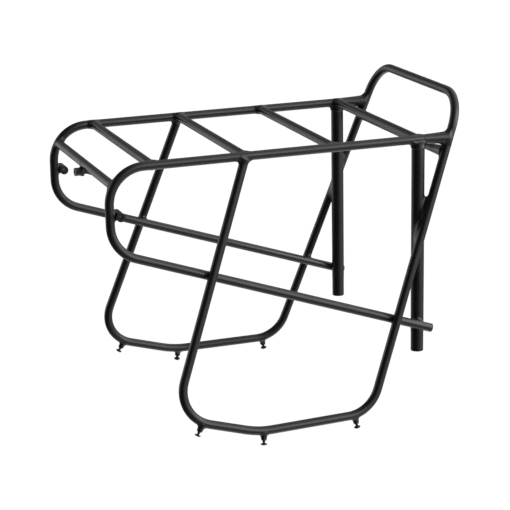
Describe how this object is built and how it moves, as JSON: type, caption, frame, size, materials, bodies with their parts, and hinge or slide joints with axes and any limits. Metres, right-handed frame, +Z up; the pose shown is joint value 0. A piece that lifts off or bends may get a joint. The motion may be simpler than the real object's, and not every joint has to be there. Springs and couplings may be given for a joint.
{
  "type": "bicycle rear rack",
  "caption": "Welded tube rear rack with a rung deck, pannier rails and splayed hoops below it, a raised front handle and vertical mounting posts.",
  "frame": {"origin": "midway between the centres of the two posts' lower end faces", "axes": "+X to the front of the bicycle, +Y to its left, +Z up along the posts"},
  "size_m": [0.5424, 0.4128, 0.4716],
  "materials": {
    "coated_steel": "satin",
    "screw_steel": "satin"
  },
  "bodies": {
    "rack_frame": {"right_side_loop": "coated_steel", "left_side_loop": "coated_steel", "hoop_and_handle_tube": "coated_steel", "rear_rung": "coated_steel", "second_rung": "coated_steel", "middle_rung": "coated_steel", "fourth_rung": "coated_steel", "front_rung": "coated_steel", "front_cross_tube": "coated_steel", "right_post": "coated_steel", "left_post": "coated_steel", "right_rail_plug": "coated_steel", "left_rail_plug": "coated_steel", "right_loop_boss": "coated_steel", "left_loop_boss": "coated_steel", "light_plate": "coated_steel", "light_boss": "coated_steel", "right_rear_peg_boss": "coated_steel", "right_middle_peg_boss": "coated_steel", "right_front_peg_boss": "coated_steel", "left_rear_peg_boss": "coated_steel", "left_middle_peg_boss": "coated_steel", "left_front_peg_boss": "coated_steel"},
    "right_rear_peg": {"right_rear_peg_screw": "screw_steel"},
    "right_middle_peg": {"right_middle_peg_screw": "screw_steel"},
    "right_front_peg": {"right_front_peg_screw": "screw_steel"},
    "left_rear_peg": {"left_rear_peg_screw": "screw_steel"},
    "left_middle_peg": {"left_middle_peg_screw": "screw_steel"},
    "left_front_peg": {"left_front_peg_screw": "screw_steel"}
  },
  "joints": [
    {"name": "right_rear_peg_travel", "type": "slide", "parent": "rack_frame", "child": "right_rear_peg", "axis": [-0.4834, -0.1149, -0.8678], "range_m": [-0.0041, 0.0025]},
    {"name": "right_middle_peg_travel", "type": "slide", "parent": "rack_frame", "child": "right_middle_peg", "axis": [-0.078, -0.1806, -0.9805], "range_m": [-0.0041, 0.0025]},
    {"name": "right_front_peg_travel", "type": "slide", "parent": "rack_frame", "child": "right_front_peg", "axis": [0.1864, -0.0851, -0.9788], "range_m": [-0.0041, 0.0025]},
    {"name": "left_rear_peg_travel", "type": "slide", "parent": "rack_frame", "child": "left_rear_peg", "axis": [-0.4834, 0.1149, -0.8678], "range_m": [-0.0041, 0.0025]},
    {"name": "left_middle_peg_travel", "type": "slide", "parent": "rack_frame", "child": "left_middle_peg", "axis": [-0.078, 0.1806, -0.9805], "range_m": [-0.0041, 0.0025]},
    {"name": "left_front_peg_travel", "type": "slide", "parent": "rack_frame", "child": "left_front_peg", "axis": [0.1864, 0.0851, -0.9788], "range_m": [-0.0041, 0.0025]}
  ]
}
